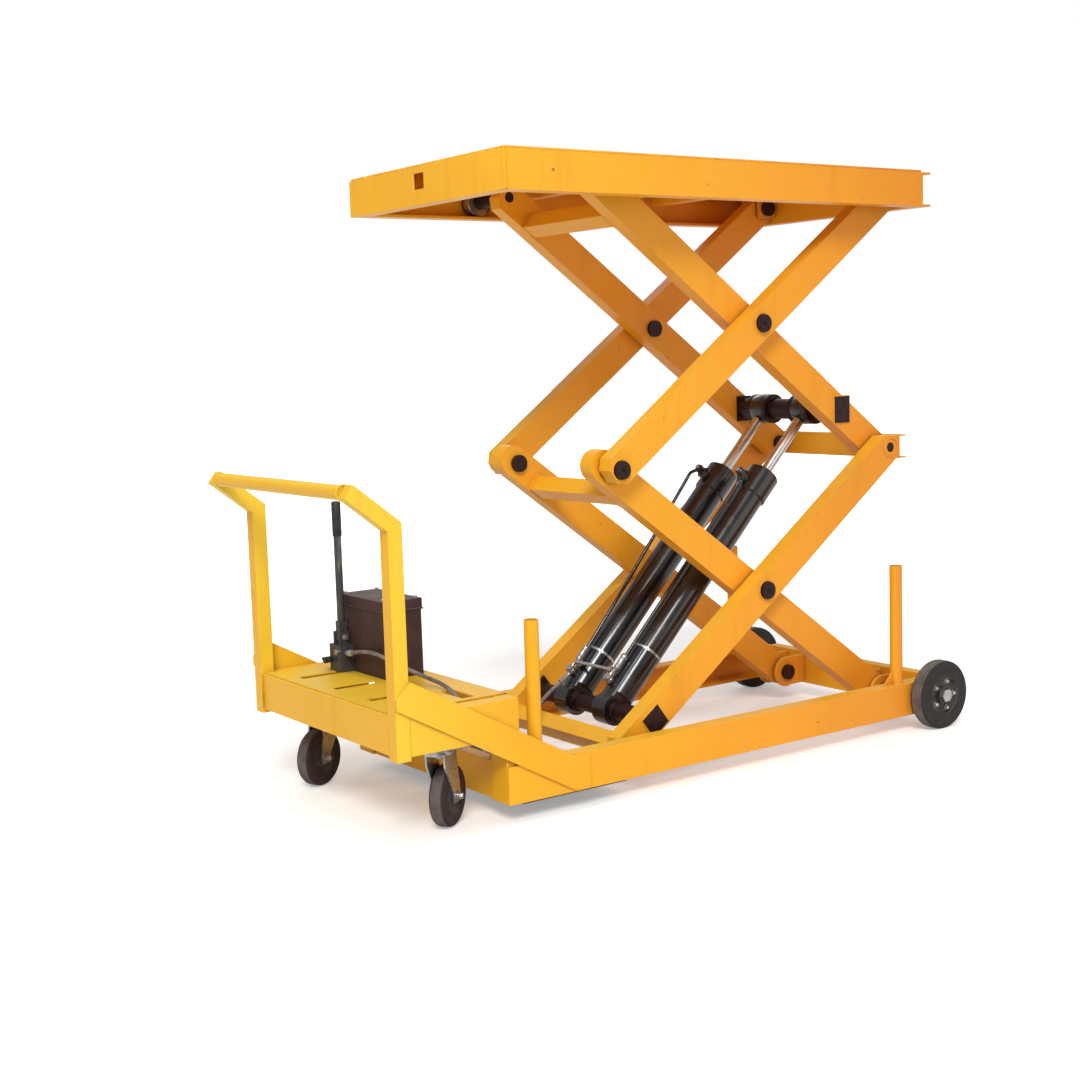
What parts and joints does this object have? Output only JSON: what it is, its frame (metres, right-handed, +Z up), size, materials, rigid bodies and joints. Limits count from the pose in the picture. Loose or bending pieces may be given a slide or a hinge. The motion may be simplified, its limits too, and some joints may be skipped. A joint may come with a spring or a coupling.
{
  "type": "scissor lift table",
  "caption": "Mobile hydraulic lift table: a flat platform on stacked scissor arms raised by twin rams, with a wheeled frame, push handle, swivel casters and hand pump.",
  "frame": {"origin": "on the floor under the middle of the whole raised table's box", "axes": "+X runs along the table from the push handle to the rear wheels, +Y across it towards the pump lever's side, +Z up"},
  "size_m": [2.1199, 0.905, 1.6916],
  "materials": {
    "yellow_paint": "satin machine enamel, lightly worn at the edges",
    "floor_steel": "dark matt paint",
    "black_cylinder_paint": "gloss",
    "chrome_rod": "ground and polished",
    "dark_pin_steel": "oiled, dark red-brown",
    "roller_steel": "turned, greasy",
    "tank_paint": "matt dark maroon",
    "lever_steel": "matt dark grey",
    "zinc": "zinc plated",
    "hose_rubber": "smooth outer cover",
    "wheel_tread": "worn grey rubber",
    "wheel_hub": "dark pressed steel",
    "caster_tread": "dark rubber",
    "knob_plastic": "moulded"
  },
  "bodies": {
    "base": {"base_floor_plate": "floor_steel", "base_cross_channels": "yellow_paint", "base_pivot_brackets": "yellow_paint", "base_pivot_pins": "dark_pin_steel", "base_rail_far": "yellow_paint", "base_rail_near": "yellow_paint", "caster_plates": "zinc", "cylinder_hose": "hose_rubber", "deck_channels": "yellow_paint", "deck_floor": "yellow_paint", "front_risers": "yellow_paint", "handle_grip_bar": "yellow_paint", "handle_upright_far": "yellow_paint", "handle_upright_near": "yellow_paint", "hose_fittings": "zinc", "pump_body": "lever_steel", "pump_hose": "hose_rubber", "pump_lid": "tank_paint", "pump_tank": "tank_paint", "rear_axles": "zinc", "rest_posts": "yellow_paint", "side_struts": "yellow_paint"},
    "lower_inner": {"lower_inner_arm_far": "yellow_paint", "lower_inner_arm_near": "yellow_paint", "lower_inner_cross_tube": "yellow_paint", "lower_scissor_pins": "dark_pin_steel"},
    "lower_outer": {"lower_outer_arm_far": "yellow_paint", "lower_outer_arm_near": "yellow_paint", "roller_cross_tube": "yellow_paint", "rear_arm_channel": "yellow_paint", "lower_cylinder_beam": "dark_pin_steel", "lower_outer_shafts": "dark_pin_steel"},
    "upper_outer": {"upper_outer_arm_far": "yellow_paint", "upper_outer_arm_near": "yellow_paint", "upper_scissor_pins": "dark_pin_steel"},
    "upper_inner": {"upper_inner_arm_far": "yellow_paint", "upper_inner_arm_near": "yellow_paint", "upper_inner_cross_tube": "yellow_paint", "upper_cylinder_beam": "dark_pin_steel", "upper_roller_shafts": "dark_pin_steel"},
    "platform": {"platform_cross_channels": "yellow_paint", "platform_pivot_brackets": "yellow_paint", "platform_side_channel_far": "yellow_paint", "platform_side_channel_near": "yellow_paint", "platform_top": "yellow_paint"},
    "cylinders": {"cylinder_barrels": "black_cylinder_paint", "cylinder_gland_heads": "black_cylinder_paint"},
    "rods": {"cylinder_rods": "chrome_rod"},
    "base_roller_pair": {"base_rollers": "roller_steel"},
    "platform_roller_pair": {"platform_rollers": "roller_steel"},
    "rear_wheel_near": {"rear_tyre_near": "wheel_tread", "rear_hub_near": "wheel_hub"},
    "rear_wheel_far": {"rear_tyre_far": "wheel_tread", "rear_hub_far": "wheel_hub"},
    "caster_near": {"caster_fork_near": "zinc"},
    "caster_far": {"caster_fork_far": "zinc"},
    "caster_wheel_near": {"caster_wheel_near": "caster_tread"},
    "caster_wheel_far": {"caster_wheel_far": "caster_tread"},
    "lever": {"pump_lever": "lever_steel"},
    "knob": {"release_knob": "knob_plastic"}
  },
  "joints": [
    {"name": "lift", "type": "hinge", "parent": "base", "child": "lower_inner", "pos_m": [0.877, 0, 0.1], "axis": [0, 1, 0], "range_deg": [-25.9, 0], "deforming": ["cylinder_hose"]},
    {"name": "lower_scissor", "type": "hinge", "parent": "lower_inner", "child": "lower_outer", "pos_m": [0.35248, 0, 0.48389], "axis": [0, 1, 0], "range_deg": [0, 51.8]},
    {"name": "upper_knee", "type": "hinge", "parent": "lower_inner", "child": "upper_outer", "pos_m": [-0.17205, 0, 0.86779], "axis": [0, 1, 0], "range_deg": [0, 51.8]},
    {"name": "upper_scissor", "type": "hinge", "parent": "upper_outer", "child": "upper_inner", "pos_m": [0.35248, 0, 1.25168], "axis": [0, 1, 0], "range_deg": [-51.8, 0]},
    {"name": "platform_level", "type": "hinge", "parent": "upper_outer", "child": "platform", "pos_m": [0.877, 0, 1.63558], "axis": [0, 1, 0], "range_deg": [-25.9, 0]},
    {"name": "cylinder_swing", "type": "hinge", "parent": "lower_outer", "child": "cylinders", "pos_m": [-0.07468, 0, 0.16507], "axis": [0, 1, 0], "range_deg": [0, 4.6]},
    {"name": "rod_slide", "type": "slide", "parent": "cylinders", "child": "rods", "axis": [0.696, 0, 0.718], "range_m": [-0.1525, 0]},
    {"name": "base_roller_roll", "type": "hinge", "parent": "lower_outer", "child": "base_roller_pair", "pos_m": [-0.17205, 0, 0.1], "axis": [0, 1, 0], "continuous": true},
    {"name": "platform_roller_roll", "type": "hinge", "parent": "upper_inner", "child": "platform_roller_pair", "pos_m": [-0.17205, 0, 1.63558], "axis": [0, 1, 0], "continuous": true},
    {"name": "rear_wheel_near_roll", "type": "hinge", "parent": "base", "child": "rear_wheel_near", "pos_m": [0.955, -0.418, 0.105], "axis": [0, 1, 0], "continuous": true},
    {"name": "rear_wheel_far_roll", "type": "hinge", "parent": "base", "child": "rear_wheel_far", "pos_m": [0.955, 0.418, 0.105], "axis": [0, 1, 0], "continuous": true},
    {"name": "caster_near_swivel", "type": "hinge", "parent": "base", "child": "caster_near", "pos_m": [-0.78, -0.308, 0.2], "axis": [0, 0, 1], "continuous": true},
    {"name": "caster_far_swivel", "type": "hinge", "parent": "base", "child": "caster_far", "pos_m": [-0.78, 0.308, 0.2], "axis": [0, 0, 1], "continuous": true},
    {"name": "caster_near_roll", "type": "hinge", "parent": "caster_near", "child": "caster_wheel_near", "pos_m": [-0.74887, -0.2862, 0.08], "axis": [-0.5736, 0.8192, 0], "continuous": true},
    {"name": "caster_far_roll", "type": "hinge", "parent": "caster_far", "child": "caster_wheel_far", "pos_m": [-0.81444, 0.29194, 0.08], "axis": [0.4226, -0.9063, 0], "continuous": true},
    {"name": "pump_stroke", "type": "hinge", "parent": "base", "child": "lever", "pos_m": [-0.762, 0.221, 0.425], "axis": [0, 1, 0], "range_deg": [-45, 0]},
    {"name": "release_turn", "type": "hinge", "parent": "base", "child": "knob", "pos_m": [-0.8, 0.24, 0.362], "axis": [1, 0, 0], "range_deg": [0, 180]}
  ],
  "couplings": [
    {"joint": "lower_scissor", "follows": "lift", "ratio": -2},
    {"joint": "upper_knee", "follows": "lift", "ratio": -2},
    {"joint": "upper_scissor", "follows": "lift", "ratio": 2},
    {"joint": "platform_level", "follows": "lift", "ratio": 1},
    {"joint": "cylinder_swing", "follows": "lift", "ratio": -0.17},
    {"joint": "rod_slide", "follows": "lift", "m_per_rad": 0.325}
  ]
}
